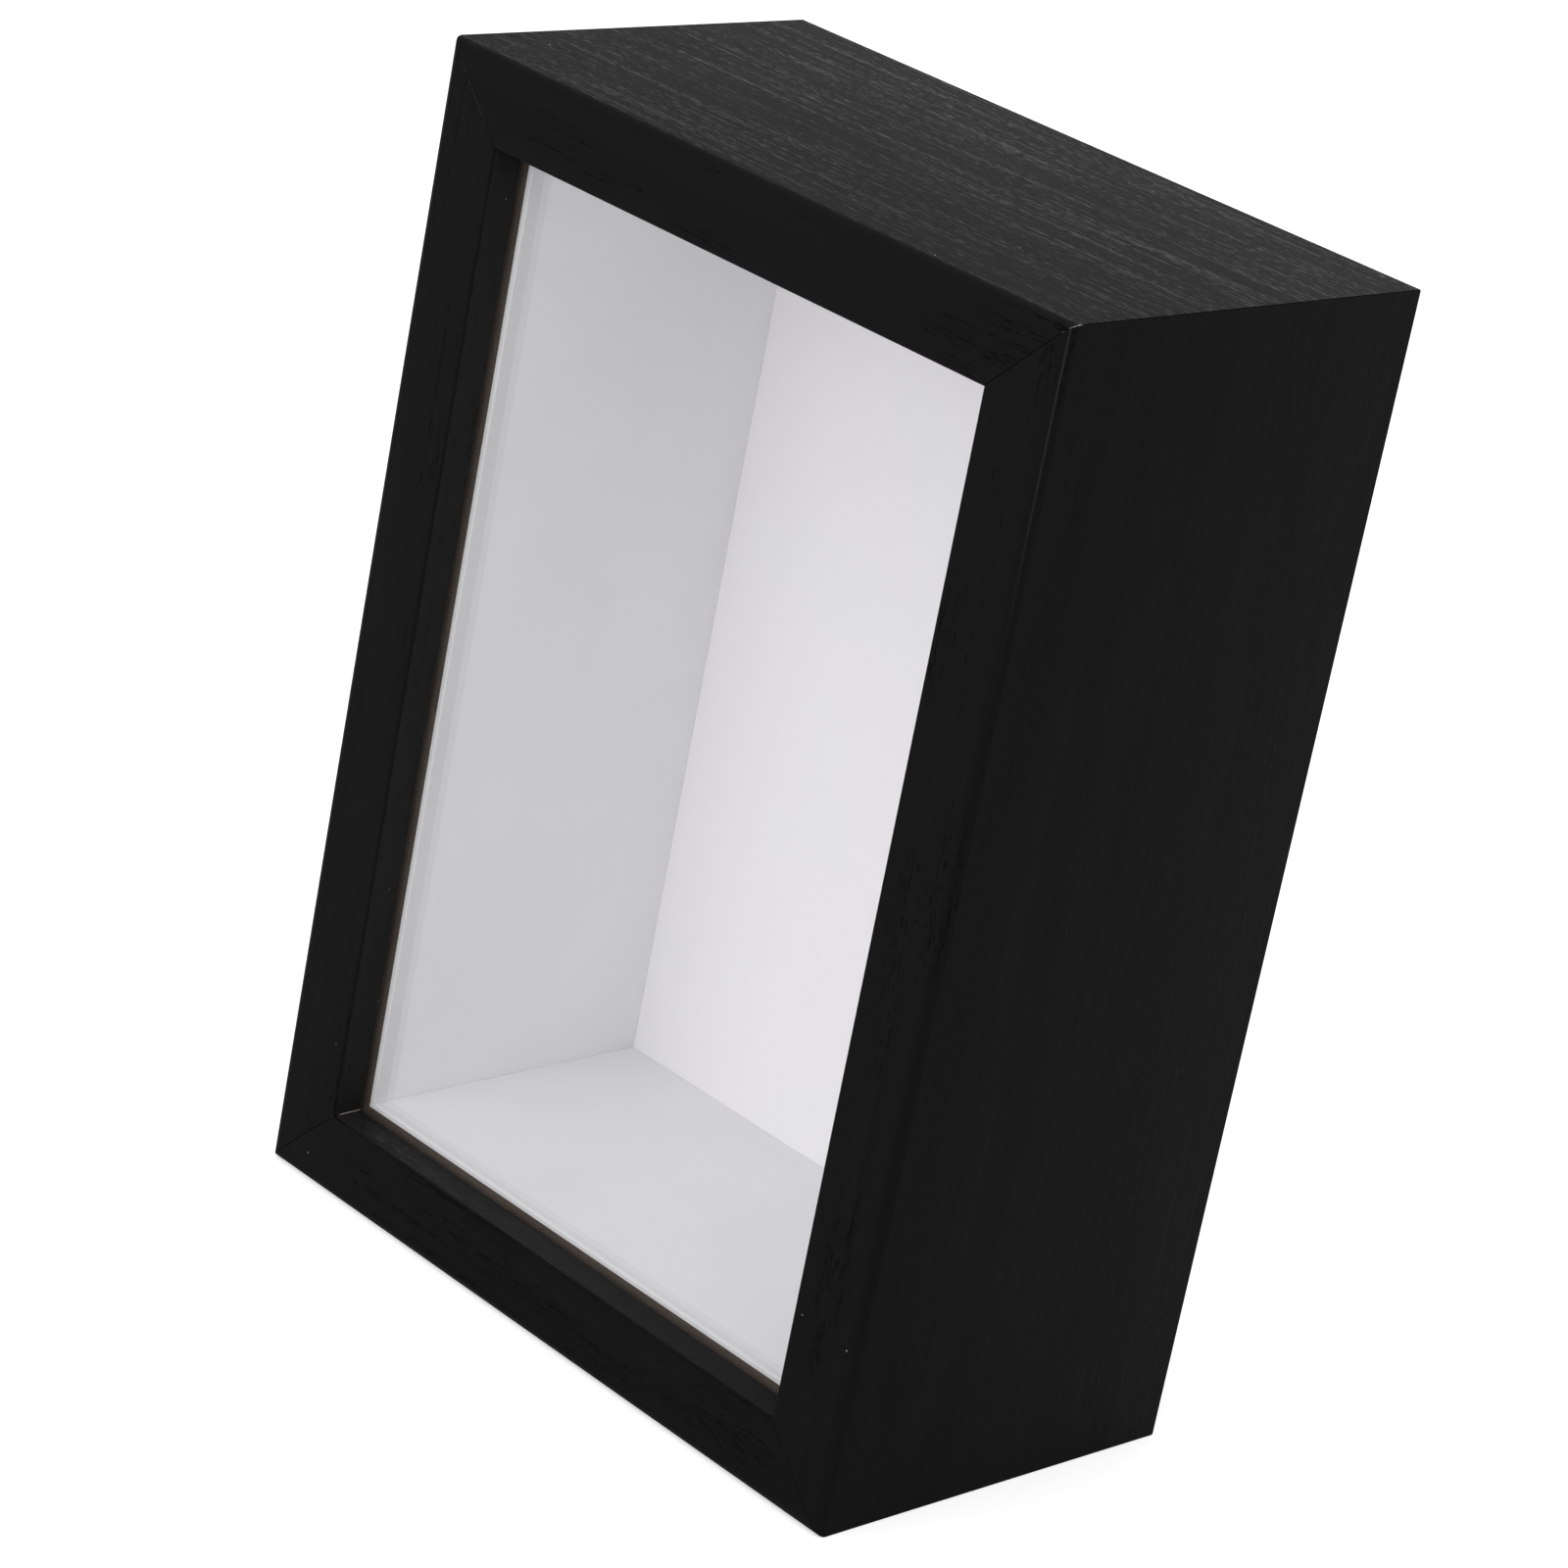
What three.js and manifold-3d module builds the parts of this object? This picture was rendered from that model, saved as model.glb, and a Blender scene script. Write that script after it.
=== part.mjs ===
// A deep shadow box: a mitred frame of foil-wrapped moulding with a glass front, four white liner boards,
// a white display board and a back panel held in by turn buttons.
// Millimetres. +Z is up, the front faces -Y, and the origin is the middle of the bottom face.

import * as THREE from 'three';
import { mergeVertices } from 'three/addons/utils/BufferGeometryUtils.js';
import Module from 'manifold-3d';

// Driving dimensions: the moulding
const frameWidth = 177.8;
const frameHeight = 254;
const wall = 12;
const lipWidth = 18.7;
const lipDepth = 7.2;
const outerEdgeRadius = 2.6;
const innerEdgeRadius = 1;

// Driving dimensions: what stands in the box, from the front to the back
const glassThickness = 2;
const linerThickness = 8.6;
const linerDepth = 75;
const displayBoardThickness = 10.4;
const backPanelThickness = 3;

// Driving dimensions: the hardware on the back
const buttonLength = 18;
const buttonWidth = 8;
const buttonThickness = 1.2;
const buttonSpacing = 140;
const screwShankRadius = 1.4;
const screwHeadRadius = 2.8;
const screwHeadHeight = 1.5;
const screwLength = 11;
const recessLength = 3.2;
const recessWidth = 0.7;
const recessDepth = 0.9;
const hangerLength = 45;
const hangerHeight = 8;
const hangerThickness = 0.8;
const hangerRaisedLength = 27;
const hangerRamp = 2;
const hangerRise = 1.5;
const toothPitch = 2.7;
const toothHeight = 2;
const nailShankRadius = 0.7;
const nailHeadRadius = 1.6;
const nailHeadHeight = 0.6;
const nailLength = 9;
const vNailLeg = 5.4;
const vNailThickness = 0.5;
const vNailDepth = 10;

// Clearances
const fitGap = 0.3;
const mitreGap = 0.3;
const glassPlay = 0.4;
const paneClearance = 0.7;

// Places, as distances behind the front face
const glassFront = lipDepth + glassPlay;
const linerFront = glassFront + glassThickness + glassPlay;
const displayBoardFront = linerFront + linerDepth + fitGap;
const backPanelFront = displayBoardFront + displayBoardThickness + fitGap;
const frameDepth = backPanelFront + backPanelThickness;
const front = -frameDepth / 2;
const rear = frameDepth / 2;

const cavityWidth = frameWidth - 2 * wall;
const cavityHeight = frameHeight - 2 * wall;
const middle = frameHeight / 2;
const hardwareLine = wall / 2;
const hangerSeat = rear + fitGap;
const buttonSeat = rear + fitGap;
const screwSeat = buttonSeat + buttonThickness + fitGap;
const nailSeat = hangerSeat + hangerThickness + fitGap;
const hangerNailPlace = (hangerLength + hangerRaisedLength + 2 * hangerRamp) / 4;
const vNailInset = (wall + vNailLeg) / 2;
const vNailSunk = fitGap;

const edgeSegments = 10;
const roundSegments = 24;
const overrun = 1;

const wasm = await Module();
wasm.setup();

// A closed three.js geometry as a manifold solid.
function solidOf(geometry) {
  const bare = geometry.clone();
  bare.deleteAttribute('normal');
  bare.deleteAttribute('uv');
  const welded = mergeVertices(bare, 1e-5);
  return new wasm.Manifold(new wasm.Mesh({
    numProp: 3,
    vertProperties: new Float32Array(welded.attributes.position.array),
    triVerts: new Uint32Array(welded.index.array),
  }));
}

// A manifold solid as a flat-shaded three.js geometry.
function geometryOf(solid) {
  const mesh = solid.getMesh();
  const indexed = new THREE.BufferGeometry();
  indexed.setAttribute('position', new THREE.BufferAttribute(new Float32Array(mesh.vertProperties), 3));
  indexed.setIndex(new THREE.BufferAttribute(new Uint32Array(mesh.triVerts), 1));
  const geometry = indexed.toNonIndexed();
  geometry.computeVertexNormals();
  return geometry;
}

function cutFrom(geometry, cutters) {
  return geometryOf(cutters.reduce((solid, cutter) => solid.subtract(solidOf(cutter)), solidOf(geometry)));
}

function polygon(points) {
  return new THREE.Shape(points.map(([x, y]) => new THREE.Vector2(x, y)));
}

function extrude(shape, depth) {
  return new THREE.ExtrudeGeometry(shape, { depth, bevelEnabled: false, curveSegments: edgeSegments });
}

// A plate whose outline is drawn in X and Z, and whose thickness runs from y = low to y = high.
function plate(shape, low, high) {
  return extrude(shape, high - low).rotateX(Math.PI / 2).translate(0, high, 0);
}

// A turned piece about the Y axis, from its profile's [radius, y] points.
function turned(profile) {
  return new THREE.LatheGeometry(profile.map(([x, y]) => new THREE.Vector2(x, y)), roundSegments);
}

// A round cutter along Y, from y = low to y = high, at x and z.
function drill(radius, low, high, x, z) {
  const length = high - low;
  return new THREE.CylinderGeometry(radius, radius, length, roundSegments).translate(x, low + length / 2, z);
}

function named(name, geometry, surface) {
  const mesh = new THREE.Mesh(geometry, surface);
  mesh.name = name;
  return mesh;
}

function placed(object, x, y, z) {
  object.position.set(x, y, z);
  return object;
}

// Materials
const finish = (color, roughness, metalness = 0) =>
  new THREE.MeshStandardMaterial({ color, roughness, metalness });
const blackFoil = finish(0x1c1c1e, 0.5);
const clearGlass = finish(0xe6eeec, 0.05);
clearGlass.transparent = true;
clearGlass.opacity = 0.2;
const whiteBoard = finish(0xe4e2e2, 0.75);
const whiteCanvas = finish(0xebe6e6, 0.85);
const brownFibreboard = finish(0x7a5a3e, 0.85);
const zincSteel = finish(0xb4b6b8, 0.35, 0.9);
const brassSteel = finish(0xb89a5a, 0.35, 0.9);

// The moulding's section: x runs inward from the outer face, y backward from the front face.
function mouldingSection() {
  const shape = new THREE.Shape();
  shape.moveTo(0, frameDepth);
  shape.lineTo(0, outerEdgeRadius);
  shape.absarc(outerEdgeRadius, outerEdgeRadius, outerEdgeRadius, Math.PI, 1.5 * Math.PI, false);
  shape.lineTo(lipWidth - innerEdgeRadius, 0);
  shape.absarc(lipWidth - innerEdgeRadius, innerEdgeRadius, innerEdgeRadius, -Math.PI / 2, 0, false);
  shape.lineTo(lipWidth, lipDepth);
  shape.lineTo(wall, lipDepth);
  shape.lineTo(wall, frameDepth);
  shape.closePath();
  return shape;
}

// One length of moulding: X runs along it and Z inward from its outer face. The section is extruded by
// one unit, then each end is drawn out to its 45 degree mitre and stops half a mitre gap short of it.
function moulding(length) {
  const geometry = extrude(mouldingSection(), 1);
  const place = geometry.attributes.position;
  for (let i = 0; i < place.count; i += 1) {
    const inward = place.getX(i);
    const backward = place.getY(i);
    const end = place.getZ(i) < 0.5 ? 1 : -1;
    place.setXYZ(i, end * (length / 2 - inward - mitreGap * Math.SQRT1_2), front + backward, inward);
  }
  return geometry;
}

// The V-nail that ties the mitre at one end (1 or -1) of a member: two legs at a right angle, with their
// corner on the mitre. The slot that it sits in is the same shape, grown by a margin.
function vNail(length, end, margin, low, high) {
  const half = vNailThickness / 2 + margin;
  const tip = vNailLeg + margin;
  const outline = [[half, half], [-tip, half], [-tip, -half], [-half, -half], [-half, -tip], [half, -tip]];
  return plate(polygon(outline), low, high)
    .rotateY(end > 0 ? -Math.PI / 2 : 0)
    .translate(end * (length / 2 - vNailInset), 0, vNailInset);
}

// A rail or stile, with the blind holes at the places given and the V-nail slots in its back edge.
function member(name, length, holes) {
  const above = rear + overrun;
  const slotEnd = rear - vNailSunk - vNailDepth - fitGap;
  const slots = [1, -1].map((end) => vNail(length, end, fitGap, slotEnd, above));
  const drills = holes.map(({ radius, depth, x }) => drill(radius, rear - depth, above, x, hardwareLine));
  return named(name, cutFrom(moulding(length), [...slots, ...drills]), blackFoil);
}

const screwHoles = [-buttonSpacing / 2, buttonSpacing / 2].map((x) => (
  { radius: screwShankRadius + fitGap, depth: screwLength + fitGap, x }));
const nailHoles = [-hangerNailPlace, hangerNailPlace].map((x) => (
  { radius: nailShankRadius + fitGap, depth: nailLength + fitGap, x }));

// The four liner boards: the top and bottom ones run the full width, the side ones stand between them.
function liners() {
  const y = front + linerFront + linerDepth / 2;
  const longSide = cavityWidth - 2 * fitGap;
  const shortSide = cavityHeight - 2 * (linerThickness + 2 * fitGap);
  const flat = new THREE.BoxGeometry(longSide, linerDepth, linerThickness);
  const upright = new THREE.BoxGeometry(linerThickness, linerDepth, shortSide);
  const fromOutside = wall + fitGap + linerThickness / 2;
  const across = frameWidth / 2 - fromOutside;
  const group = new THREE.Group();
  group.add(placed(named('liner_bottom', flat, whiteBoard), 0, y, fromOutside));
  group.add(placed(named('liner_top', flat, whiteBoard), 0, y, frameHeight - fromOutside));
  group.add(placed(named('liner_left', upright, whiteBoard), -across, y, middle));
  group.add(placed(named('liner_right', upright, whiteBoard), across, y, middle));
  return group;
}

// A flat board or pane that fills the box's cavity, less a clearance all round.
function sheet(name, surface, thickness, frontFace, clearance) {
  const geometry = new THREE.BoxGeometry(cavityWidth - 2 * clearance, thickness, cavityHeight - 2 * clearance);
  return placed(named(name, geometry, surface), 0, front + frontFace + thickness / 2, middle);
}

// A turn button: a flat strip with round ends, hung on a hole in one end. It points up, along the stile.
function turnButton(name) {
  const round = buttonWidth / 2;
  const reach = buttonLength - buttonWidth;
  const shape = new THREE.Shape();
  shape.absarc(0, 0, round, Math.PI, 2 * Math.PI, false);
  shape.absarc(0, reach, round, 0, Math.PI, false);
  shape.closePath();
  const hole = drill(screwShankRadius + fitGap, -overrun, buttonThickness + overrun, 0, 0);
  return named(name, cutFrom(plate(shape, 0, buttonThickness), [hole]), zincSteel);
}

// A pan-head screw with a cross recess. Its head sits on y = 0 and its shank points to -Y.
function screw(name) {
  const point = 2;
  const domeRadius = screwHeadRadius * 0.75;
  const profile = [
    [0, -screwLength], [screwShankRadius, point - screwLength], [screwShankRadius, 0], [screwHeadRadius, 0],
    [screwHeadRadius, screwHeadHeight / 2], [domeRadius, screwHeadHeight], [0, screwHeadHeight],
  ];
  const slot = (x, z) => new THREE.BoxGeometry(x, 2 * recessDepth, z).translate(0, screwHeadHeight, 0);
  const recess = [slot(recessLength, recessWidth), slot(recessWidth, recessLength)];
  return named(name, cutFrom(turned(profile), recess), zincSteel);
}

// A round-head nail. Its head sits on y = 0 and its shank points to -Y.
function nail(name) {
  const point = 1.5;
  const profile = [
    [0, -nailLength], [nailShankRadius, point - nailLength], [nailShankRadius, 0],
    [nailHeadRadius, 0], [nailHeadRadius, nailHeadHeight / 2], [0, nailHeadHeight],
  ];
  return named(name, turned(profile), brassSteel);
}

// A sawtooth hanger: a bent strip, flat at its nailed ends and raised between them, with teeth cut into
// its inward edge. It lies along X, centred on the hardware line.
function sawtoothHanger(name) {
  const end = hangerLength / 2;
  const flatEnd = hangerRaisedLength / 2 + hangerRamp;
  const raisedEnd = hangerRaisedLength / 2;
  const high = hangerRise + hangerThickness;
  const strip = extrude(polygon([
    [-end, 0], [-flatEnd, 0], [-raisedEnd, hangerRise], [raisedEnd, hangerRise], [flatEnd, 0], [end, 0],
    [end, hangerThickness], [flatEnd, hangerThickness], [raisedEnd, high], [-raisedEnd, high],
    [-flatEnd, hangerThickness], [-end, hangerThickness],
  ]), hangerHeight).translate(0, 0, -hangerHeight / 2);
  const teeth = Math.floor(hangerRaisedLength / toothPitch);
  const start = -(teeth * toothPitch) / 2;
  const edge = hangerHeight / 2;
  const outline = [[start, edge + overrun]];
  for (let i = 0; i < teeth; i += 1) {
    outline.push([start + i * toothPitch, edge], [start + (i + 0.5) * toothPitch, edge - toothHeight]);
  }
  outline.push([-start, edge], [-start, edge + overrun]);
  const saw = plate(polygon(outline), -overrun, high + overrun);
  const radius = nailShankRadius + fitGap;
  const holes = nailHoles.map(({ x }) => drill(radius, -overrun, high + overrun, x, 0));
  return named(name, cutFrom(strip, [saw, ...holes]), brassSteel);
}

function hangerSet(name) {
  const group = new THREE.Group();
  group.add(placed(sawtoothHanger(name), 0, hangerSeat, hardwareLine));
  nailHoles.forEach(({ x }, i) => {
    group.add(placed(nail(`${name}_nail_${i + 1}`), x, nailSeat, hardwareLine));
  });
  return group;
}

// Each rail or stile is a group of its own, laid out along X and then turned into its place.
function turnedInto(group, x, z, turn) {
  placed(group, x, 0, z);
  group.rotation.y = turn;
  return group;
}

function rail(name, holes, corners) {
  const group = new THREE.Group();
  group.add(member(name, frameWidth, holes));
  [1, -1].forEach((end, i) => {
    const low = rear - vNailSunk - vNailDepth;
    const piece = vNail(frameWidth, end, 0, low, rear - vNailSunk);
    group.add(named(`v_nail_${corners[i]}`, piece, zincSteel));
  });
  return group;
}

function frame() {
  const group = new THREE.Group();
  const bottom = rail('rail_bottom', [], ['bottom_right', 'bottom_left']);
  const top = rail('rail_top', nailHoles, ['top_left', 'top_right']);
  top.add(hangerSet('hanger_top'));
  const left = new THREE.Group();
  left.add(member('stile_left', frameHeight, [...screwHoles, ...nailHoles]), hangerSet('hanger_side'));
  const right = new THREE.Group();
  right.add(member('stile_right', frameHeight, screwHoles));
  group.add(turnedInto(bottom, 0, 0, 0));
  group.add(turnedInto(top, 0, frameHeight, Math.PI));
  group.add(turnedInto(left, -frameWidth / 2, middle, Math.PI / 2));
  group.add(turnedInto(right, frameWidth / 2, middle, -Math.PI / 2));
  return group;
}

function turnButtons() {
  const group = new THREE.Group();
  [['left', -1], ['right', 1]].forEach(([side, across]) => {
    [['lower', -1], ['upper', 1]].forEach(([level, up]) => {
      const x = across * (frameWidth / 2 - hardwareLine);
      const z = middle + up * buttonSpacing / 2;
      group.add(placed(turnButton(`turn_button_${side}_${level}`), x, buttonSeat, z));
      group.add(placed(screw(`screw_${side}_${level}`), x, screwSeat, z));
    });
  });
  return group;
}

const shadowBox = new THREE.Group();
shadowBox.add(frame());
shadowBox.add(sheet('glass', clearGlass, glassThickness, glassFront, paneClearance));
shadowBox.add(liners());
shadowBox.add(sheet('display_board', whiteCanvas, displayBoardThickness, displayBoardFront, fitGap));
shadowBox.add(sheet('back_panel', brownFibreboard, backPanelThickness, backPanelFront, fitGap));
shadowBox.add(turnButtons());

export default shadowBox;
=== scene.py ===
# %% [markdown]
# # Dressing a deep shadow box
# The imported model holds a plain, true-sized shadow box: a mitred frame, a pane, four liner boards, a
# display board, a back panel and the hardware behind. This lesson loads it and makes a finer piece to
# stand for each of its pieces: rounded and wrapped edges, grain, cut fibreboard, stamped steel. The
# outside is never resized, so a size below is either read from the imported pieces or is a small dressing
# size, such as the radius of an edge or the pitch of a thread.

# %% Load the frame
from math import cos, pi, radians, sin

import bmesh
import bpy
import numpy as np
from mathutils import Matrix, Vector


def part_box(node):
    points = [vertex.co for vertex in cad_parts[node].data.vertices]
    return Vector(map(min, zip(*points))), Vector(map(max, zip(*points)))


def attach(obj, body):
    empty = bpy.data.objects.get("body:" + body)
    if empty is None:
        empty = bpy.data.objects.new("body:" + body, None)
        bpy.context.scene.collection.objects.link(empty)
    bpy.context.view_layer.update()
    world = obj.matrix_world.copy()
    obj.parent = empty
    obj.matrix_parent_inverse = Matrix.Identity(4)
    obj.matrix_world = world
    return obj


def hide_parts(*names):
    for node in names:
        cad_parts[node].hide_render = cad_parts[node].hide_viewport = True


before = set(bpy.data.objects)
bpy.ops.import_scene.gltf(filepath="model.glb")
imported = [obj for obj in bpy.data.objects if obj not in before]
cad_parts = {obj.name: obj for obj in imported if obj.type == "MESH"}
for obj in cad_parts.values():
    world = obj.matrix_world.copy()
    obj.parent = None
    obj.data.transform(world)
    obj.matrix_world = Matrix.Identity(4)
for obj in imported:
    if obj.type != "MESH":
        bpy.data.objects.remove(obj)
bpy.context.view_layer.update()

mm = 0.001
print("nodes:", len(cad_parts))

# %% [markdown]
# ## Reading the frame's own sizes
# A cabinet maker measures the carcass before cutting anything for it. The frame's width, height and
# depth come from the rails and stiles, and the wall's thickness from the back panel, which fills the
# cavity but for its clearance. Two clearances are named here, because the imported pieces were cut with
# them: the fit gap round each board, and the play that the pane has. The numbers could be typed in, but
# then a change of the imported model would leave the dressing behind, so each smaller piece later asks for
# its own box too.

# %% Measure the carcass
fit_gap = 0.3 * mm
glass_play = 0.4 * mm
rail_low, rail_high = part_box("rail_bottom")
frame_left, frame_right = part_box("stile_left")[0].x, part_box("stile_right")[1].x
frame_width = frame_right - frame_left
frame_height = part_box("rail_top")[1].z
front, rear = rail_low.y, rail_high.y
lip_width = rail_high.z
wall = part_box("back_panel")[0].x - fit_gap - frame_left
lip_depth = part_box("glass")[0].y - glass_play - front
middle = frame_height / 2
print(f"frame {frame_width:.4f} wide, {frame_height:.4f} high, {rear - front:.4f} deep")
print(f"wall {wall:.4f}, lip {lip_width:.4f} wide and {lip_depth:.4f} deep")

# %% [markdown]
# ## One way to make every surface
# Each piece is a grid of points: rows are stations along the piece and columns run round it. A Bevel
# modifier on a box could round its edges too, but a grid gives every face a known place, so that the
# foil, the core and the worn mitre can each have their own columns. Whole arrays of points are worked
# out at once, then handed to the mesh in one go. The mesh's volume tells whether its faces point
# outwards, so a piece that came out inside out is turned round there and then.

# %% Grid and mesh helpers
def grid_quads(rows, columns, wrap_rows=False, wrap_columns=True):
    """Every quad between neighbouring rows and columns. A wrapped way joins its last line to its first."""
    r = np.arange(rows if wrap_rows else rows - 1)
    c = np.arange(columns if wrap_columns else columns - 1)
    r, c = (a.ravel() for a in np.meshgrid(r, c, indexing="ij"))
    r_next, c_next = (r + 1) % rows, (c + 1) % columns
    corners = [r * columns + c, r * columns + c_next, r_next * columns + c_next, r_next * columns + c]
    return np.stack(corners, axis=1)


def make_piece(name, points, materials, capped=True, wrap_rows=False, column_slots=None, sharp=35):
    """A closed mesh from a grid of points (rows, columns, 3).

    The first and last rows get a flat cap in the last material, unless capped is false, as where the rows
    wrap round and meet.
    column_slots gives the material slot of the quad that starts at each row and column.
    """
    rows, columns = points.shape[:2]
    quads = grid_quads(rows, columns, wrap_rows)
    faces = quads.tolist()
    slots = np.zeros(len(quads), int)
    if column_slots is not None:
        slots = np.asarray(column_slots)[quads[:, 0] // columns, quads[:, 0] % columns]
    slots = slots.tolist()
    if capped:
        faces += [list(range(columns))[::-1], list(range((rows - 1) * columns, rows * columns))]
        slots += [len(materials) - 1] * 2
    mesh = bpy.data.meshes.new(name)
    mesh.from_pydata(points.reshape(-1, 3).tolist(), [], faces)
    for material in materials:
        mesh.materials.append(material)
    mesh.polygons.foreach_set("material_index", slots)
    turn_outwards(mesh)
    mesh.polygons.foreach_set("use_smooth", [True] * len(mesh.polygons))
    mesh.set_sharp_from_angle(angle=radians(sharp))
    piece = bpy.data.objects.new(name, mesh)
    bpy.context.scene.collection.objects.link(piece)
    return piece


def turn_outwards(mesh):
    """Reverses every face if the closed mesh's signed volume is below nought."""
    work = bmesh.new()
    work.from_mesh(mesh)
    if work.calc_volume(signed=True) < 0:
        bmesh.ops.reverse_faces(work, faces=work.faces)
    work.to_mesh(mesh)
    work.free()


def dress(piece, node, body):
    """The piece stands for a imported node, moves with its body and takes its finish from its slot."""
    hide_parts(node)
    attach(piece, body)
    low, high = np.array(piece.bound_box).min(0), np.array(piece.bound_box).max(0)
    print(f"{piece.name}: {len(piece.data.polygons)} faces, {np.round((high - low) / mm, 2)} mm")
    return piece


def arc(centre, radius, start, end, steps):
    """Points on a circle's arc, from the start to the end angle in degrees, as an array of x and y."""
    a = np.radians(np.linspace(start, end, steps + 1))
    return np.stack([centre[0] + radius * np.cos(a), centre[1] + radius * np.sin(a)], axis=1)


def rounded_rectangle(width, height, radius, steps=6):
    """A closed outline: four quarter circles, joined by the straight sides between them."""
    w, h = width / 2 - radius, height / 2 - radius
    corners = [(w, h, 0), (-w, h, 90), (-w, -h, 180), (w, -h, 270)]
    return np.concatenate([arc((x, y), radius, a, a + 90, steps) for x, y, a in corners])


# %% [markdown]
# ## Materials are built from nodes
# An image of wood or metal would be quick, but it repeats and it blurs close up. Patterns made from
# noise don't, and their sizes are plain numbers. A short helper adds a node, sets its plain values and
# links the rest, so that each finish below reads as a recipe. All patterns read Object coordinates in
# metres: the pieces sit where they are used, so the grain on neighbouring pieces has one scale, and
# nothing slides when a piece moves.

# %% Node helpers
def add(tree, kind, settings=None, **inputs):
    """Adds a node. Settings are its own properties; inputs are sockets by name, linked or set.

    An underscore and a number, such as _0, picks a socket by its place instead.
    """
    node = tree.nodes.new(kind)
    for key, value in (settings or {}).items():
        setattr(node, key, value)
    for key, value in inputs.items():
        socket = node.inputs[int(key[1:])] if key[1:].isdigit() else node.inputs[key.replace("_", " ")]
        if isinstance(value, bpy.types.NodeSocket):
            tree.links.new(value, socket)
        else:
            socket.default_value = value
    return node


def new_material(name):
    """An empty node material with its output, and the Object coordinates that its patterns read."""
    material = bpy.data.materials.new(name)
    material.use_nodes = True
    tree = material.node_tree
    tree.nodes.clear()
    output = tree.nodes.new("ShaderNodeOutputMaterial")
    place = add(tree, "ShaderNodeTexCoord").outputs["Object"]
    return material, tree, output, place


def stretched(tree, place, scale, turn=0.0, shift=(0, 0, 0)):
    """The place, turned about Y and stretched: a bigger scale is a finer pattern that way."""
    turned = add(tree, "ShaderNodeMapping", Vector=place, Rotation=(0, turn, 0), Location=shift).outputs[0]
    return add(tree, "ShaderNodeVectorMath", {"operation": "MULTIPLY"}, _0=turned, _1=scale).outputs[0]


def noise(tree, place, detail=2.0, distortion=0.0):
    """Soft noise of about 0 to 1. One unit of the place is about one blob."""
    sockets = {"Vector": place, "Scale": 1.0, "Detail": detail, "Distortion": distortion}
    return add(tree, "ShaderNodeTexNoise", **sockets).outputs[0]


def between(tree, value, low, high, out_low=0.0, out_high=1.0):
    """The value's place between low and high, clamped, as a smooth step from out_low to out_high."""
    settings = {"interpolation_type": "SMOOTHSTEP"}
    sockets = {"Value": value, "From_Min": low, "From_Max": high, "To_Min": out_low, "To_Max": out_high}
    return add(tree, "ShaderNodeMapRange", settings, **sockets).outputs[0]


def maths(tree, operation, a, b=0.0):
    """One sum: a and b, joined by the named operation."""
    return add(tree, "ShaderNodeMath", {"operation": operation}, _0=a, _1=b).outputs[0]


def mixed(tree, factor, a, b):
    """A colour between a and b."""
    node = tree.nodes.new("ShaderNodeMix")
    node.data_type = "RGBA"
    for socket, value in zip((node.inputs[0], node.inputs[6], node.inputs[7]), (factor, a, b)):
        if isinstance(value, bpy.types.NodeSocket):
            tree.links.new(value, socket)
        else:
            socket.default_value = value
    return node.outputs[2]


def bump(tree, height, distance, under=None):
    """A surface direction, tilted as if a height of 1 stood that distance proud of what is under it."""
    node = add(tree, "ShaderNodeBump", Height=height, Distance=distance)
    if under is not None:
        tree.links.new(under, node.inputs["Normal"])
    return node.outputs[0]


# %% [markdown]
# ## Black wood-grain foil
# The moulding is fibreboard wrapped in a printed, embossed foil. Three things make it look like wood:
# long soft figure in the colour, fine fibre, and short open pores pressed into the surface along the
# grain. Lines of real grooves would cost millions of faces. So the pores are a noise stretched far along
# the grain and cut off near its top, so that only dashes are left, and a slower noise gathers the dashes
# into the bands of the growth rings. The pores are shinier than the foil round them, so they show light
# on a face that is seen at a low angle. Then come specks of dust, a painted highlight: a grey line down
# the right front edge, and painted light: a lighter, greyer foil on the turn of the lip and its wall.

# %% Foil material
black = (0.0034, 0.0034, 0.0036, 1)
black_figure = (0.0066, 0.0066, 0.0069, 1)
# Painted light: a lighter, greyer black for the turn of the lip and its inner wall, for the light on them.
lip_painted_light_black = (0.016, 0.0155, 0.0155, 1)
pore_black = (0.0012, 0.0012, 0.0013, 1)
dust_grey = (0.75, 0.75, 0.73, 1)
dust_cover = 0.55
# A painted highlight: the grey and how much of it is drawn down the right front edge.
painted_highlight_grey = (0.10, 0.10, 0.10, 1)
painted_highlight_cover = 0.13
fibre_depth = 0.02 * mm
pore_depth = 0.012 * mm
foil_specular = 0.038
outer_round = 2.6 * mm


def edge_painted_highlight(tree, place):
    """Painted highlight on the right front edge: a grey line down its curve's crest, fading downwards.

    On the crest, x plus y is the corner's own sum, and x minus y is at its greatest.
    """
    x, y, z = add(tree, "ShaderNodeSeparateXYZ", Vector=place).outputs
    beside = maths(tree, "ABSOLUTE", maths(tree, "SUBTRACT", maths(tree, "ADD", x, y), frame_right + front))
    line = between(tree, beside, 0.42 * mm, 0.12 * mm)
    outside = maths(tree, "SUBTRACT", x, y)
    crest = frame_right - front - 0.6 * outer_round
    near_edge = between(tree, outside, crest - 0.7 * mm, crest - 0.3 * mm)
    height = between(tree, z, frame_height - 80 * mm, frame_height - 4 * mm, 0.0, painted_highlight_cover)
    return maths(tree, "MULTIPLY", maths(tree, "MULTIPLY", line, near_edge), height)


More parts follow.
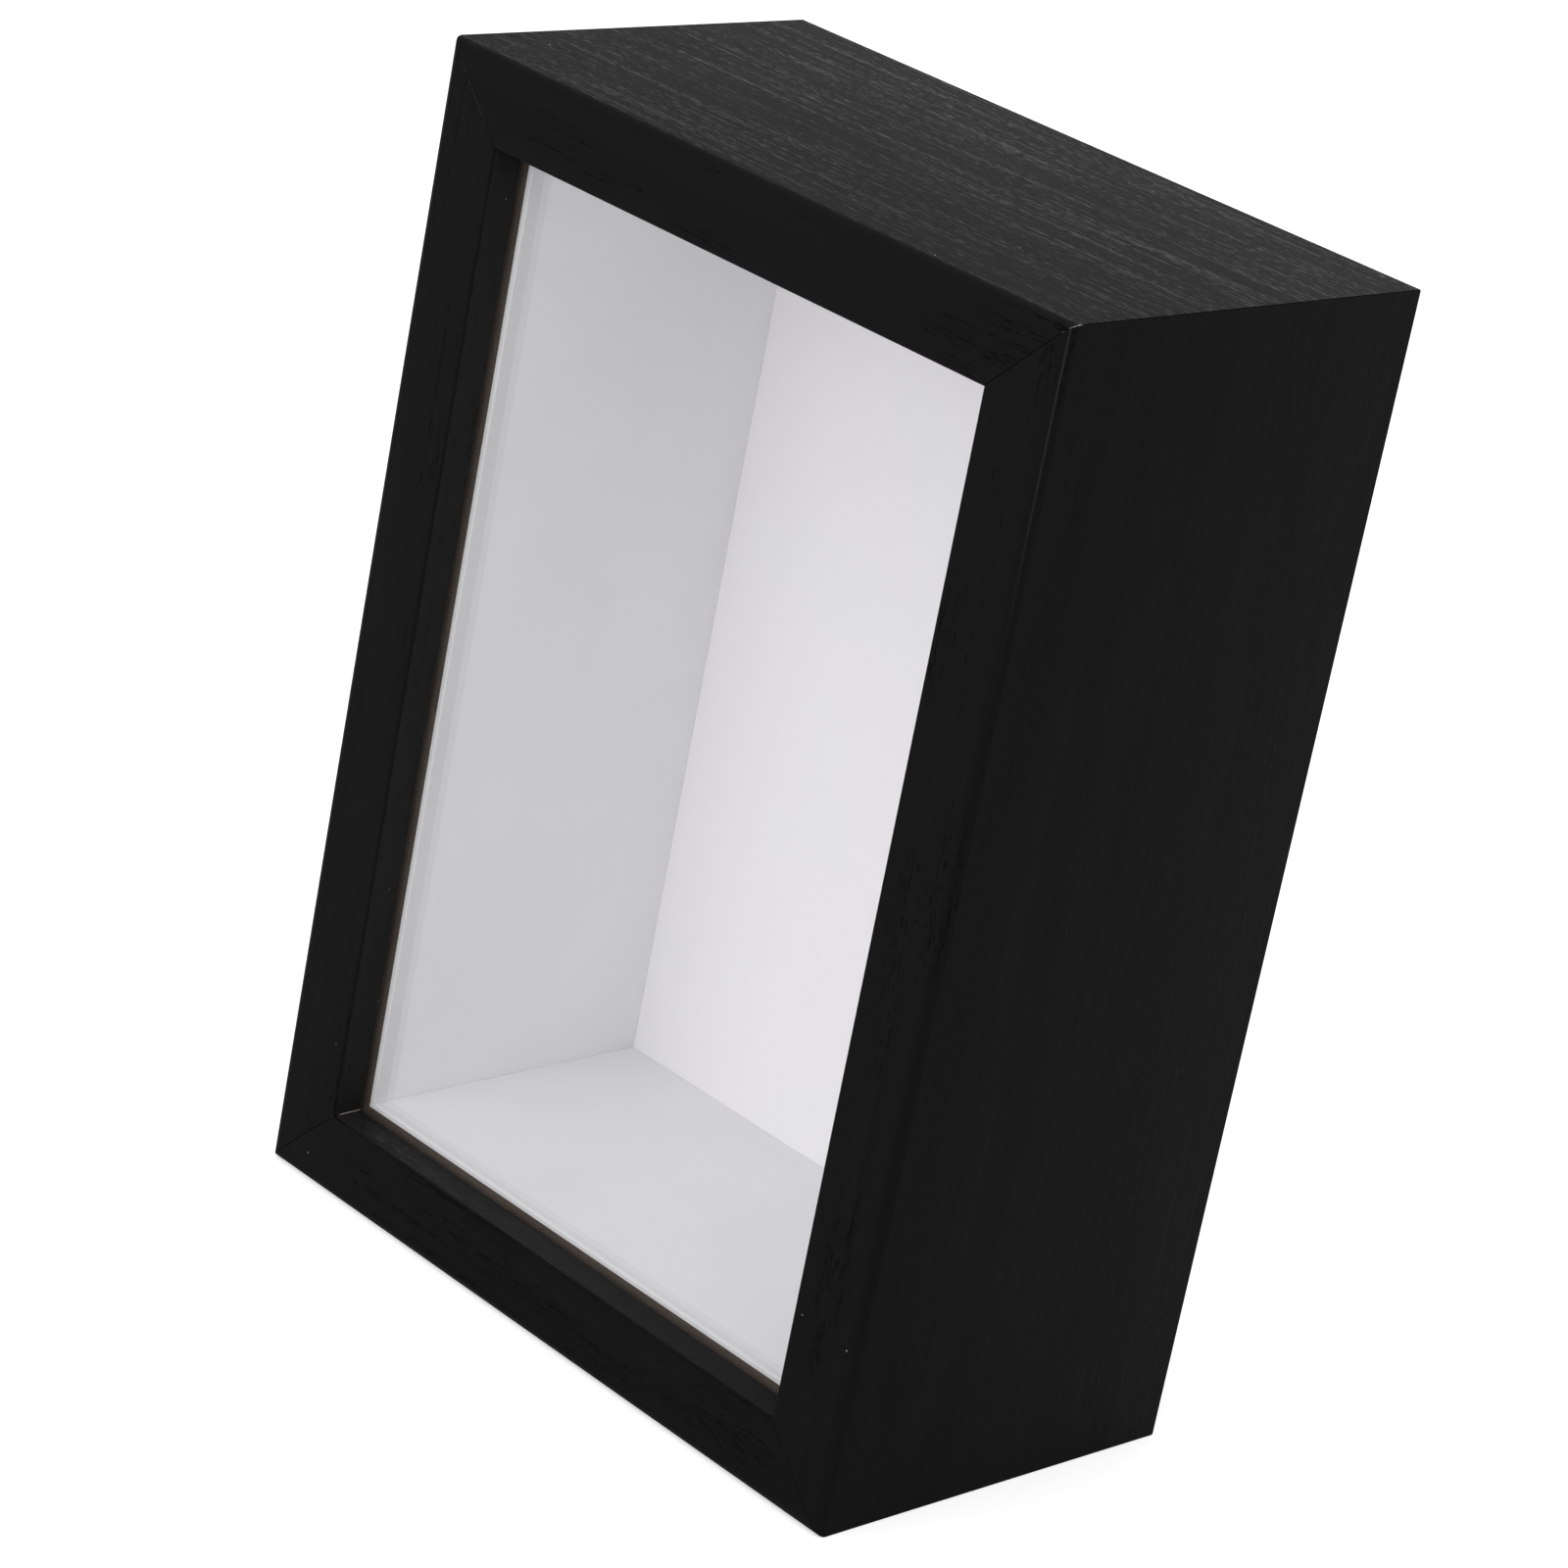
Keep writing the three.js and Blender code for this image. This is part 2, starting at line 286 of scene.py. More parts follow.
def foil(name, grain_turn, dark=black, light=black_figure, darkest=1.0):
    """Foil whose grain runs along X turned by grain_turn: nought on a rail, a quarter turn on a stile.

    The level that is cut off to leave the pores is a sum of long lines, short dashes and broad patches.
    darkest is how black the pores are, where a patch gathers them.
    """
    material, tree, output, place = new_material(name)
    figure = noise(tree, stretched(tree, place, (7, 90, 160), grain_turn), 3, 0.6)
    fibre = noise(tree, stretched(tree, place, (60, 1500, 1500), grain_turn), 3)
    patch = noise(tree, stretched(tree, place, (24, 90, 90), grain_turn, (0.2, 0.6, 0.9)), 2)
    lines = noise(tree, stretched(tree, place, (18, 900, 900), grain_turn, (0.3, 0.1, 0.2)), 1)
    dashes = noise(tree, stretched(tree, place, (400, 2800, 2800), grain_turn, (0.7, 0.4, 0.1)), 1)
    level = maths(tree, "ADD", maths(tree, "MULTIPLY", lines, 0.45), maths(tree, "MULTIPLY", dashes, 0.7))
    level = maths(tree, "ADD", level, maths(tree, "MULTIPLY", patch, 0.15))
    pores = between(tree, level, 0.70, 0.80)
    deep = maths(tree, "MULTIPLY", pores, between(tree, patch, 0.47, 0.58, 0.12 * darkest, darkest))
    specks = add(tree, "ShaderNodeTexVoronoi", Vector=stretched(tree, place, (300, 300, 300)), Scale=1.0)
    chance = add(tree, "ShaderNodeSeparateColor", _0=specks.outputs["Color"]).outputs[0]
    dust = maths(tree, "MULTIPLY", between(tree, specks.outputs["Distance"], 0.055, 0.035),
                 between(tree, chance, 0.92, 0.93))
    colour = mixed(tree, figure, dark, light)
    colour = mixed(tree, deep, colour, pore_black)
    colour = mixed(tree, maths(tree, "MULTIPLY", dust, dust_cover), colour, dust_grey)
    # The painted highlight down the right front edge.
    colour = mixed(tree, edge_painted_highlight(tree, place), colour, painted_highlight_grey)
    normal = bump(tree, fibre, fibre_depth)
    normal = bump(tree, maths(tree, "SUBTRACT", 1.0, pores), pore_depth, under=normal)
    dull = between(tree, fibre, 0.3, 0.7, 0.5, 0.56)
    roughness = maths(tree, "SUBTRACT", dull, maths(tree, "MULTIPLY", pores, 0.24))
    sockets = {"Base_Color": colour, "Roughness": roughness, "Normal": normal}
    shader = add(tree, "ShaderNodeBsdfPrincipled", Specular_IOR_Level=foil_specular, **sockets)
    tree.links.new(shader.outputs[0], output.inputs[0])
    return material


foil_along_x = foil("black_foil_rails", 0)
foil_along_z = foil("black_foil_stiles", pi / 2)
# The lip's copies of the foil are lighter: painted light on the turn of the lip and its inner wall.
lip_painted_light_along_x = foil("black_foil_rails_lip", 0, lip_painted_light_black, lip_painted_light_black, 0.3)
lip_painted_light_along_z = foil("black_foil_stiles_lip", pi / 2, lip_painted_light_black, lip_painted_light_black, 0.3)
print("foils:", [finish.name for finish in (foil_along_x, foil_along_z, lip_painted_light_along_x, lip_painted_light_along_z)])

# %% [markdown]
# ## Cut fibreboard
# Wherever a board is sawn, the foil or the white facing ends and the core shows. It is brown in the
# rebate behind the lip, on the liners' front edges and on the back panel, and it is stained black on the
# frame's rear edge. Fibreboard has no grain, only a fine fleck, so two sizes of noise are enough: the
# fleck, and the soft clouds of a board that is pressed from many chips.

# %% Fibreboard material
def fibreboard(name, light, dark, fleck_size, roughness=0.85, shine=0.5):
    """Dark to light by a sum of seven parts of fleck and three parts of cloud."""
    material, tree, output, place = new_material(name)
    fleck = noise(tree, stretched(tree, place, (1 / fleck_size,) * 3), 4)
    cloud = noise(tree, stretched(tree, place, (40, 40, 40)), 2)
    share = maths(tree, "ADD", maths(tree, "MULTIPLY", fleck, 0.7), maths(tree, "MULTIPLY", cloud, 0.3))
    colour = mixed(tree, between(tree, share, 0.35, 0.65), dark, light)
    normal = bump(tree, fleck, 0.04 * mm)
    sockets = {"Base_Color": colour, "Roughness": roughness, "Normal": normal, "Specular_IOR_Level": shine}
    shader = add(tree, "ShaderNodeBsdfPrincipled", **sockets)
    tree.links.new(shader.outputs[0], output.inputs[0])
    return material


raw_core = fibreboard("fibreboard_core", (0.100, 0.078, 0.064, 1), (0.070, 0.053, 0.043, 1), 0.7 * mm)
stained_core = fibreboard(
    "fibreboard_stained_black", (0.007, 0.007, 0.007, 1), (0.004, 0.004, 0.004, 1), 0.7 * mm, 1.0, 0.0)
hardboard = fibreboard("hardboard_back", (0.21, 0.118, 0.06, 1), (0.135, 0.072, 0.036, 1), 1.1 * mm, 0.6)
print("boards:", [finish.name for finish in (raw_core, stained_core, hardboard)])

# %% [markdown]
# ## Worn mitres
# A framer blackens the sawn ends before gluing them, so that a mitre doesn't show as a brown line. A
# knock takes the black off again. Three such places are named by where they are and how far they reach:
# the top right corner, the upper left mitre and the inner corner at the lower left. Painting them by
# hand on the mesh would tie them to its faces, but a distance from a point works on any shape.

# %% Mitre edges, black except where a corner is worn
bruise = (0.62, 0.60, 0.56, 1)
seam_grey = (0.035, 0.034, 0.033, 1)
worn_places = [
    ((frame_right - 0.8 * mm, front + 1.2 * mm, frame_height - 0.8 * mm), 2.4 * mm, bruise),
    ((frame_left + 9 * mm, front, frame_height - 9 * mm), 9.0 * mm, seam_grey),
    ((frame_left + lip_width, front + 5 * mm, lip_width), 5.5 * mm, bruise),
]


def worn_edge(name):
    """Black, with the pale core showing in patches round each worn place, out to that place's radius."""
    material, tree, output, place = new_material(name)
    patch = noise(tree, stretched(tree, place, (400, 400, 400)), 2)
    colour = black
    for centre, radius, showing in worn_places:
        apart = add(tree, "ShaderNodeVectorMath", {"operation": "DISTANCE"}, _0=place, _1=centre)
        near = between(tree, apart.outputs["Value"], radius, 0.5 * radius)
        colour = mixed(tree, maths(tree, "MULTIPLY", near, between(tree, patch, 0.35, 0.5)), colour, showing)
    sockets = {"Base_Color": colour, "Roughness": 0.7, "Specular_IOR_Level": 0.04}
    shader = add(tree, "ShaderNodeBsdfPrincipled", **sockets)
    tree.links.new(shader.outputs[0], output.inputs[0])
    return material


mitre_edge = worn_edge("black_mitre_edge")
print(f"{mitre_edge.name}: {len(worn_places)} worn places")

# %% [markdown]
# ## Four lengths of moulding
# A framer cuts one long moulding into four at 45 degrees. Its section is an L: the deep wall of the box
# and the lip that shows at the front. A boolean could cut the mitres, but it leaves long thin faces. So
# the section is carried along each side as a profile along a straight path, and each of its points stops
# short by its own distance from the outer face, which is what a mitre is. The last station is drawn in a
# little, so that each mitre closes on a hairline groove with two small bevels.

# %% Moulding section
inner_round = 1.0 * mm
rear_round = 0.8 * mm
lip_splay = 0.4 * mm
heel_round = 0.3 * mm
foil_return = 4.0 * mm
depth = rear - front
FOIL, CORE, LIP_PAINTED_LIGHT, STAINED, MITRE = range(5)


def moulding_section():
    """The L-shaped outline as (inward, backward) points, and the material slot of each segment of it."""
    nose = lip_width - lip_splay - inner_round
    parts = [
        arc((rear_round, depth - rear_round), rear_round, 90, 180, 4),
        arc((outer_round, outer_round), outer_round, 180, 270, 16),
        arc((nose, inner_round), inner_round, 270, 360, 12),
        arc((lip_width - heel_round, lip_depth - heel_round), heel_round, 0, 90, 4),
        np.array([(wall, lip_depth), (wall, depth - foil_return)]),
        arc((wall - rear_round, depth - rear_round), rear_round, 0, 90, 4),
    ]
    outline = np.concatenate(parts)
    ends = np.cumsum([len(part) for part in parts])
    slots = np.full(len(outline), FOIL)
    slots[:4] = STAINED
    slots[ends[4] + 1:] = STAINED
    # The turn of the lip and its inner wall take the lighter foil: painted light.
    slots[ends[2] - 5:ends[3] - 1] = LIP_PAINTED_LIGHT
    slots[ends[3] - 1:ends[4] - 1] = CORE
    return outline, slots


def drawn_in(outline, distance):
    """The closed outline moved inwards: each point goes along the mean of its two sides' normals."""
    before = outline - np.roll(outline, 1, axis=0)
    after = np.roll(outline, -1, axis=0) - outline
    before /= np.linalg.norm(before, axis=1)[:, None]
    after /= np.linalg.norm(after, axis=1)[:, None]
    tangent = before + after
    tangent /= np.linalg.norm(tangent, axis=1)[:, None]
    normal = np.stack([-tangent[:, 1], tangent[:, 0]], axis=1)
    return outline + distance * normal


# %% Carry it along each side
mitre_gap = 0.02 * mm
mitre_bevel = 0.11 * mm


def moulding(name, length, placing, surface, lip_light_finish):
    """Rows: a drawn-in end, the full section just inside it, and the same two again at the other end.

    The moulding is worked out as the bottom rail, and the placing then takes every point to its own side.
    """
    outline, slots = moulding_section()
    small = drawn_in(outline, mitre_bevel)
    stations = [(small, 0, 1), (outline, mitre_bevel, 1), (outline, mitre_bevel, -1), (small, 0, -1)]
    rows = []
    for section, back_off, end in stations:
        along = end * (length / 2 - section[:, 0] - mitre_gap - back_off)
        rows.append(np.stack([along, front + section[:, 1], section[:, 0]], axis=1))
    points = np.stack(rows)
    turned = points.reshape(-1, 3) @ np.array(placing.to_3x3()).T + np.array(placing.translation)
    bevel_slots = np.full(len(slots), MITRE)
    row_slots = np.stack([bevel_slots, slots, bevel_slots, slots])
    materials = [surface, raw_core, lip_light_finish, stained_core, mitre_edge]
    return make_piece(name, turned.reshape(points.shape), materials, column_slots=row_slots)


def side_placing(x, z, turn):
    """Takes the bottom rail's place to another side: a turn about Y, then a shift."""
    return Matrix.Translation((x, 0, z)) @ Matrix.Rotation(turn, 4, "Y")


rails = {"rail_bottom": Matrix(), "rail_top": side_placing(0, frame_height, pi)}
stiles = {
    "stile_left": side_placing(frame_left, middle, pi / 2),
    "stile_right": side_placing(frame_right, middle, -pi / 2),
}
for node, placing in rails.items():
    piece = moulding("moulding_" + node, frame_width, placing, foil_along_x, lip_painted_light_along_x)
    dress(piece, node, "box")
for node, placing in stiles.items():
    piece = moulding("moulding_" + node, frame_height, placing, foil_along_z, lip_painted_light_along_z)
    dress(piece, node, "box")

# %% [markdown]
# ## The pane
# Float glass is clear and flat, and each of its faces takes a little of the light. A glass shader alone
# would do for the eye, but it would keep the room behind the pane dark, because a lamp's shadow rays
# can't bend through it. So shadow rays and diffuse rays meet a plain transparent sheet instead, and all
# other rays meet the glass.

# %% Glass material
glass_seen = (0.985, 0.985, 0.985, 1)
glass_passed = (0.962, 0.962, 0.962, 1)


def window_glass(name):
    """Glass to the eye, and a transparent sheet to whichever is greater: a shadow ray or a diffuse ray."""
    material, tree, output, _ = new_material(name)
    bent = add(tree, "ShaderNodeBsdfGlass", Color=glass_seen, Roughness=0.0, IOR=1.5).outputs[0]
    through = add(tree, "ShaderNodeBsdfTransparent", Color=glass_passed).outputs[0]
    path = add(tree, "ShaderNodeLightPath").outputs
    lamp_or_room = maths(tree, "MAXIMUM", path["Is Shadow Ray"], path["Is Diffuse Ray"])
    both = add(tree, "ShaderNodeMixShader", _0=lamp_or_room, _1=bent, _2=through)
    tree.links.new(both.outputs[0], output.inputs[0])
    return material


clear_glass = window_glass("clear_glass")
print("pane:", clear_glass.name)

# %% [markdown]
# ## Flat boards with soft edges
# The pane, the display board and the back panel are the same kind of piece: a flat sheet with an edge
# that isn't quite sharp. The glass cutter takes the edge off with a small bevel, and a wrapped board has
# a round one. A box with a bevel modifier would need its levels kept right, so one function draws the
# sheet instead: its outline shrinks through a quarter circle towards each face.

# %% Slabs: a rounded outline carried through a rounded edge
def slab(name, node, body, materials, corner, edge, steps=3):
    """A flat board in X and Z: the outline shrinks by a quarter circle towards each of its two faces."""
    low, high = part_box(node)
    size, centre = high - low, (low + high) / 2
    turn = np.linspace(0, pi / 2, steps + 1)
    inset = np.concatenate([edge * (1 - np.sin(turn)), edge * (1 - np.cos(turn))])
    place = np.concatenate([low.y + edge * (1 - np.cos(turn)), high.y - edge * (1 - np.sin(turn))])
    rings = [rounded_rectangle(size.x - 2 * i, size.z - 2 * i, max(corner - i, 0.02 * mm)) for i in inset]
    rows = [np.stack([centre.x + r[:, 0], np.full(len(r), y), centre.z + r[:, 1]], axis=1)
            for r, y in zip(rings, place)]
    return dress(make_piece(name, np.stack(rows), materials), node, body)


slab("glass_pane", "glass", "box", [clear_glass], 0.4 * mm, 0.3 * mm, 1)

# %% [markdown]
# ## White liner boards
# The liners are fibreboard with a smooth white facing. The facing turns over the front edge by about a
# millimetre and then the brown core shows, which is the thin bright line and the dark band beside the
# lip. Each is a profile, depth by thickness, carried along the board, because a plain box couldn't turn
# its facing over the edge. The top and bottom boards run the full width, and the side boards stand
# between them, so the ends that the side boards cover stay brown.

# %% White surfaces
def painted_white(name, colour, shade, roughness, tooth):
    """White that drifts to its shade in clouds, with a tooth: the fine unevenness of paper or cloth."""
    material, tree, output, place = new_material(name)
    cloud = noise(tree, stretched(tree, place, (22, 22, 22)), 3, 0.5)
    tint = mixed(tree, between(tree, cloud, 0.3, 0.7), colour, shade)
    grain = noise(tree, stretched(tree, place, (2200, 2200, 2200)), 3)
    normal = bump(tree, grain, tooth)
    shader = add(tree, "ShaderNodeBsdfPrincipled", Base_Color=tint, Roughness=roughness, Normal=normal)
    tree.links.new(shader.outputs[0], output.inputs[0])
    return material


liner_white = painted_white(
    "white_liner", (0.825, 0.827, 0.838, 1), (0.803, 0.805, 0.816, 1), 0.6, 0.01 * mm)
board_white = painted_white(
    "white_display_board", (0.925, 0.903, 0.925, 1), (0.915, 0.903, 0.922, 1), 0.8, 0.02 * mm)
print("whites:", liner_white.name, board_white.name)

# %% Liner profiles
facing = 1.2 * mm
liner_round = 0.5 * mm
joint_gap = 0.04 * mm
pane_gap = 0.1 * mm
WHITE, BROWN = range(2)


def liner(node, along, inward):
    """along and inward are unit directions: the board's length, and the way that its white face looks.

    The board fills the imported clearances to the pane, to the display board and, on a side board, to the top
    and bottom ones, but for a hairline. hidden lists the stations from which the board is covered.
    """
    full_width = abs(along.x) > 0.5
    low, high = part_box(node)
    high.y += fit_gap - joint_gap
    low.y -= glass_play - pane_gap
    centre, size = (low + high) / 2, high - low
    length = abs(size.dot(along))
    length += 0 if full_width else 2 * (fit_gap - joint_gap)
    half_thick, half_deep = abs(size.dot(inward)) / 2, size.y / 2
    corner = arc((half_thick - liner_round, liner_round - half_deep), liner_round, 0, -90, 5)
    other_corners = [(-half_thick, -half_deep), (-half_thick, half_deep), (half_thick, half_deep)]
    outline = np.concatenate([corner, [(half_thick - facing, -half_deep)], other_corners])
    slots = np.full(len(outline), WHITE)
    slots[len(corner):len(corner) + 3] = BROWN
    stations, hidden = [1, -1], []
    if full_width:
        covered = 1 - 2 * (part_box("liner_left")[1].x - facing - low.x) / length
        stations, hidden = [1, covered, -covered, -1], [0, 2]
    section = np.array(centre) + outline[:, :1] * np.array(inward) + outline[:, 1:] * np.array((0, 1, 0))
    rows = [section + share * length / 2 * np.array(along) for share in stations]
    brown = np.full(len(slots), BROWN)
    row_slots = np.stack([brown if row in hidden else slots for row in range(len(stations))])
    piece = make_piece(node + "_board", np.stack(rows), [liner_white, raw_core], column_slots=row_slots)
    return dress(piece, node, "box")


x_way, z_way = Vector((1, 0, 0)), Vector((0, 0, 1))
liner("liner_bottom", x_way, z_way)
liner("liner_top", x_way, -z_way)
liner("liner_left", z_way, x_way)
liner("liner_right", z_way, -x_way)

# %% [markdown]
# ## Display board and back panel
# The display board is a soft pin board in white cloth-textured paper, so its edges are a little round.
# The back panel is thin hardboard with its smooth face out. Both are slabs like the pane, and both ride
# on the body that lifts out of the back.

# %% Boards
slab("display_board_white", "display_board", "back", [board_white], 1.2 * mm, 0.8 * mm, 4)
slab("back_panel_hardboard", "back_panel", "back", [hardboard], 1.0 * mm, 0.35 * mm, 2)

# %% [markdown]
# ## Plated steel
# The turn buttons, screws and V-nails are bright zinc, the hangers and nails brass-plated. A plain metal
# shader looks like chrome, but small hardware is never that even: rolling leaves faint brushed lines,
# and plating leaves clouds. So the lines tilt the surface, and the clouds drift in its colour and its
# roughness.

# %% Metal material
def plated(name, colour, worn, roughness):
    """Metal whose roughness is the given one and a fifth of the cloud's value more."""
    material, tree, output, place = new_material(name)
    brush = noise(tree, stretched(tree, place, (3500, 3500, 250)), 2)
    cloud = noise(tree, stretched(tree, place, (350, 350, 350)), 3)
    tint = mixed(tree, between(tree, cloud, 0.35, 0.7), colour, worn)
    rough = maths(tree, "ADD", roughness, maths(tree, "MULTIPLY", cloud, 0.2))
    normal = bump(tree, brush, 0.006 * mm)
    sockets = {"Base_Color": tint, "Metallic": 1.0, "Roughness": rough, "Normal": normal}
    shader = add(tree, "ShaderNodeBsdfPrincipled", **sockets)
    tree.links.new(shader.outputs[0], output.inputs[0])
    return material


zinc = plated("zinc_plate", (0.62, 0.63, 0.65, 1), (0.48, 0.49, 0.5, 1), 0.22)
brass = plated("brass_plate", (0.72, 0.53, 0.24, 1), (0.55, 0.39, 0.17, 1), 0.2)
print("metals:", zinc.name, brass.name)

# %% [markdown]
# ## Turn buttons
# A turn button is a stamped strip that swings on its screw to trap the back panel. A disc with a hole
# cut by a boolean would do, but the strip is a ring, so it can be one surface: rows go round its
# section, over the rounded rim, across the face, down the screw hole and back underneath, and columns go
# round the strip. Its tip dips a little, so that it would press on the panel.

# %% Turn button surface
rim = 0.25 * mm
hole_clearance = 0.3 * mm
tip_dip = 0.2 * mm


def turn_button(side, level):
    """Each column joins a point of the strip's outline to the hole's edge on the same ray from the pivot."""
    node = f"turn_button_{side}_{level}"
    low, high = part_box(node)
    half, thick = (high.x - low.x) / 2, high.y - low.y
    reach = (high.z - low.z) - 2 * half
    pivot = np.array([(low.x + high.x) / 2, low.y, low.z + half])
    hole = (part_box(f"screw_{side}_{level}")[1].x - pivot[0]) / 2 + hole_clearance
    strip = np.concatenate([arc((0, 0), half, 180, 360, 24), arc((0, reach), half, 0, 180, 24)])
    ray = strip / np.linalg.norm(strip, axis=1)[:, None]
    bend = np.linspace(0, pi / 2, 4)
    inset, rise = rim * (1 - np.sin(bend)), rim * (1 - np.cos(bend))
    inset, height = np.concatenate([inset, inset[::-1]]), np.concatenate([rise, thick - rise[::-1]])
    rings = [(strip - ray * i, h) for i, h in zip(inset, height)]
    rings += [(ray * (hole + i), h) for i, h in zip(inset[::-1], height[::-1])]
    rows = []
    for flat, h in rings:
        dip = tip_dip * np.clip((flat[:, 1] - half) / reach, 0, 1) ** 2
        rows.append(pivot + np.stack([flat[:, 0], h - dip, flat[:, 1]], axis=1))
    piece = make_piece(node + "_strip", np.stack(rows), [zinc], capped=False, wrap_rows=True, sharp=50)
    return dress(piece, node, f"button_{side}_{level}")


for side in ("left", "right"):
    for level in ("lower", "upper"):
        turn_button(side, level)

# %% [markdown]
# ## Screws
# A pan-head screw is a domed head with a cross recess, and a thread under it. A Screw modifier could
# wind the thread, but it would leave the tip and the head to be joined on. Here the whole screw is one
# surface of the turn and the depth: the radius rises to a ridge each time the two together make a whole
# pitch, and the head sinks wherever a place falls inside the cross.

# %% Screw surfaces
pitch = 1.1 * mm
around = 96
tip_share, core_share, thread_share = 0.12, 0.72, 0.28
cross_arm, cross_half_slot, cross_depth, cross_edge = 1.6 * mm, 0.36 * mm, 0.95 * mm, 0.14 * mm


def smooth(value):
    """A smooth step: nought below nought, one above one, and three squares less two cubes between."""
    value = np.clip(value, 0, 1)
    return value * value * (3 - 2 * value)


def screw(side, level):
    """Rows run from the point of the screw, up its thread and over its head to the middle of the recess.

    The shares are of the shank's radius: at the tip, at the thread's root, and the ridge above the root.
    """
    node = f"screw_{side}_{level}"
    low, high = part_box(node)
    head = (high.x - low.x) / 2
    shank, head_height = head / 2, 1.5 * mm
    seat = high.y - head_height
    turn = np.linspace(0, 2 * pi, around, endpoint=False)
    y = np.linspace(low.y, seat, 64)[:, None]
    ridge = np.abs(((y - low.y) / pitch - turn / (2 * pi)) % 1 - 0.5) * 2
    taper = smooth((y - low.y) / (2.5 * mm))
    root = shank * (tip_share + (core_share - tip_share) * taper)
    shaft = root + shank * thread_share * taper * smooth(1 - 2.2 * ridge)
    dome = np.linspace(0.05, 1, 40) * pi / 2
    r = np.concatenate([[head * 0.98, head, head], head * np.cos(dome) * 0.98])[:, None]
    rise = np.concatenate([[0, 0.1, 0.4], 0.45 + 0.55 * np.sin(dome)])[:, None]
    r = np.maximum(r, 0.02 * mm)
    x, z = r * np.cos(turn), r * np.sin(turn)
    across = np.minimum(np.abs(x), np.abs(z))
    outward = np.maximum(np.abs(x), np.abs(z))
    inside = smooth((cross_half_slot - across) / cross_edge) * smooth((cross_arm - outward) / cross_edge)
    top = seat + rise * head_height - inside * cross_depth * (1 - 0.45 * outward / cross_arm)
    x = (low.x + high.x) / 2 + np.concatenate([shaft * np.cos(turn), x])
    z = (low.z + high.z) / 2 + np.concatenate([shaft * np.sin(turn), z])
    heights = np.concatenate([np.broadcast_to(y, shaft.shape), top])
    points = np.stack([x, heights, z], axis=2)
    return dress(make_piece(node + "_pan_head", points, [zinc]), node, "box")


for side in ("left", "right"):
    for level in ("lower", "upper"):
        screw(side, level)

# %% [markdown]
# ## Sawtooth hangers
# A sawtooth hanger is a strip, bent up in the middle so that a wall nail fits behind it, with teeth
# along its lower edge. Cutting each tooth out would take a boolean for every one. Instead a thin
# round-cornered section is carried along the bend, and a zigzag is taken off its width, so the teeth are
# part of the same surface.

# %% Sawtooth hanger
tooth_pitch, tooth_height = 2.7 * mm, 2.0 * mm
raised_half, ramp = 13.5 * mm, 2.0 * mm
strip_thick, strip_corner = 0.8 * mm, 0.2 * mm


def sawtooth(node, along, inward):
    """Columns go round a thin section. Its inward edge is cut back by the tooth's height at each station.

    The zigzag is nought at each tip and the whole tooth's height halfway to the next. The lift is a smooth
    step up each ramp, and the section is a rectangle with a quarter circle at each corner.
    """
    low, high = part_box(node)
    centre, size = (low + high) / 2, high - low
    length, tall = abs(size.dot(along)), abs(size.dot(inward))
    lift = size.y - strip_thick
    teeth = int(2 * raised_half / tooth_pitch)
    fine = np.linspace(-0.5, 0.5, teeth * 8 + 1) * teeth * tooth_pitch
    ends = np.linspace(raised_half, length / 2, 16)[1:]
    x = np.concatenate([-ends[::-1], fine, ends])
    phase = np.abs((x / tooth_pitch + teeth / 2) % 1 - 0.5) * 2
    cut = np.where(np.abs(x) <= teeth * tooth_pitch / 2, tooth_height * (1 - phase), 0)
    bend = lift * smooth((raised_half + ramp - np.abs(x)) / ramp)
    quarter = np.radians(np.concatenate([np.linspace(a, a + 90, 4) for a in (0, 90, 180, 270)]))
    across_side, up_side = np.repeat([1, -1, -1, 1], 4), np.repeat([1, 1, -1, -1], 4)
    half, cut = strip_thick / 2, cut[:, None]
    y = low.y + half + bend[:, None] + up_side * (half - strip_corner) + strip_corner * np.sin(quarter)
    v = -cut / 2 + across_side * ((tall - cut) / 2 - strip_corner) + strip_corner * np.cos(quarter)
    spots = x[:, None, None] * np.array(along) + v[..., None] * np.array(inward)
    points = np.array(centre) * (1, 0, 1) + spots + y[..., None] * np.array((0, 1, 0))
    return dress(make_piece(node + "_strip", points, [brass], sharp=50), node, "box")


sawtooth("hanger_top", x_way, -z_way)
sawtooth("hanger_side", z_way, x_way)

# %% [markdown]
# ## Hanger nails
# Each hanger is held by two small nails with flat, slightly domed heads. A nail is round about its own
# line, so it is a turned shape: a profile of radius against height, spun once round. A cylinder and a
# squashed ball would leave a seam under the head.

# %% Nails
def nail(node):
    """A profile of radius and height turned round the nail's own line: point, shank, flat head, low dome."""
    low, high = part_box(node)
    head = (high.x - low.x) / 2
    shank, point, head_height = 0.7 * mm, 1.5 * mm, 0.6 * mm
    seat = high.y - head_height
    profile = [(0.03 * mm, low.y), (shank, low.y + point), (shank, seat), (head * 0.94, seat)]
    angles = np.linspace(0, pi / 2 * 0.97, 10)
    dome = [(head * cos(a), seat + head_height * (0.35 + 0.65 * sin(a))) for a in angles]
    r, y = np.array(profile + dome).T[:, :, None]
    turn = np.linspace(0, 2 * pi, 32, endpoint=False)
    x = (low.x + high.x) / 2 + r * np.cos(turn)
    z = (low.z + high.z) / 2 + r * np.sin(turn)
    points = np.stack(np.broadcast_arrays(x, y, z), axis=2)
    return dress(make_piece(node + "_round_head", points, [brass]), node, "box")


for hanger in ("hanger_top", "hanger_side"):
    for number in (1, 2):
        nail(f"{hanger}_nail_{number}")

# %% [markdown]
# ## V-nails
# A V-nail is a bent strip of steel that is pressed across a mitre from behind, one leg in each moulding,
# so only its thin L shows, all but flush with the wood. It is an L-shaped outline carried straight in.
# Two thin boxes would cross at the elbow, and a real one bends there without a seam.

